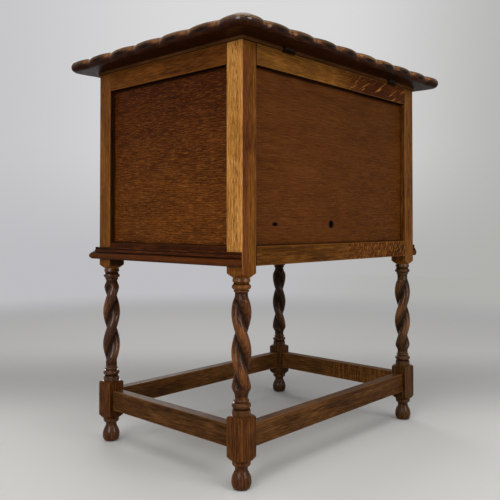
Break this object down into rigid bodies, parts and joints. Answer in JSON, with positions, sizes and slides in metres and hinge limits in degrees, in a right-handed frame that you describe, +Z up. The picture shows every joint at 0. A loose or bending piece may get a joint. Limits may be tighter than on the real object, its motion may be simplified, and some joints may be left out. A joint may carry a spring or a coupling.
{
  "type": "side cabinet",
  "caption": "Panelled oak side cabinet with a lift-up lobed lid and a pair of doors, on twist-turned legs joined by stretchers.",
  "frame": {"origin": "on the floor, under the centre of the cabinet", "axes": "+Z up, +X to the right and -Y to the front as the user stands before the doors; +Y is the hinged edge of the lid"},
  "size_m": [0.608, 0.454, 0.704],
  "materials": {
    "frame_oak": "polished golden-brown oak with ray flecks",
    "panel_oak": "polished red-brown oak, grain lying across",
    "inner_oak": "unpolished brown oak",
    "leg_oak": "polished turned oak, worn to orange on the edges",
    "stretcher_oak": "polished brown oak",
    "moulding_oak": "dark polished oak",
    "lid_oak": "very dark glossy oak, worn on the lobes",
    "knob_oak": "dark polished turned oak",
    "aged_brass": "blackened with age"
  },
  "bodies": {
    "carcass": {"leg_front_left": "leg_oak", "leg_front_right": "leg_oak", "leg_back_left": "leg_oak", "leg_back_right": "leg_oak", "top_rail_front": "frame_oak", "top_rail_back": "frame_oak", "top_rail_left": "frame_oak", "top_rail_right": "frame_oak", "bottom_rail_front": "frame_oak", "bottom_rail_back": "frame_oak", "bottom_rail_left": "frame_oak", "bottom_rail_right": "frame_oak", "stretcher_front": "stretcher_oak", "stretcher_back": "stretcher_oak", "stretcher_left": "stretcher_oak", "stretcher_right": "stretcher_oak", "panel_back": "panel_oak", "panel_left": "panel_oak", "panel_right": "panel_oak", "floor_board": "inner_oak", "floor_cleat_front": "inner_oak", "floor_cleat_back": "inner_oak", "base_moulding_front": "moulding_oak", "base_moulding_left": "moulding_oak", "base_moulding_right": "moulding_oak", "top_strip_front": "moulding_oak", "top_strip_back": "moulding_oak", "top_strip_left": "moulding_oak", "top_strip_right": "moulding_oak", "lid_hinge_fixed_leaves": "aged_brass", "lid_hinge_pins": "aged_brass", "lid_hinge_fixed_screws": "aged_brass", "door_left_fixed_leaves": "aged_brass", "door_left_hinge_pins": "aged_brass", "door_right_fixed_leaves": "aged_brass", "door_right_hinge_pins": "aged_brass", "post_hinge_screws": "aged_brass"},
    "lid": {"lid": "lid_oak", "lid_hinge_lid_leaves": "aged_brass", "lid_hinge_lid_screws": "aged_brass"},
    "door_left": {"door_left_hinge_stile": "frame_oak", "door_left_meeting_stile": "frame_oak", "door_left_top_rail": "frame_oak", "door_left_bottom_rail": "frame_oak", "door_left_panel": "panel_oak", "door_left_knob": "knob_oak", "door_left_moving_leaves": "aged_brass", "door_left_hinge_screws": "aged_brass"},
    "door_right": {"door_right_hinge_stile": "frame_oak", "door_right_meeting_stile": "frame_oak", "door_right_top_rail": "frame_oak", "door_right_bottom_rail": "frame_oak", "door_right_panel": "panel_oak", "door_right_knob": "knob_oak", "door_right_moving_leaves": "aged_brass", "door_right_hinge_screws": "aged_brass"}
  },
  "joints": [
    {"name": "lid_hinge", "type": "hinge", "parent": "carcass", "child": "lid", "pos_m": [0, 0.1865, 0.685], "axis": [-1, 0, 0], "range_deg": [0, 92]},
    {"name": "door_left_hinge", "type": "hinge", "parent": "carcass", "child": "door_left", "pos_m": [-0.22625, -0.1865, 0.5065], "axis": [0, 0, -1], "range_deg": [0, 170]},
    {"name": "door_right_hinge", "type": "hinge", "parent": "carcass", "child": "door_right", "pos_m": [0.22625, -0.1865, 0.5065], "axis": [0, 0, 1], "range_deg": [0, 170]}
  ]
}
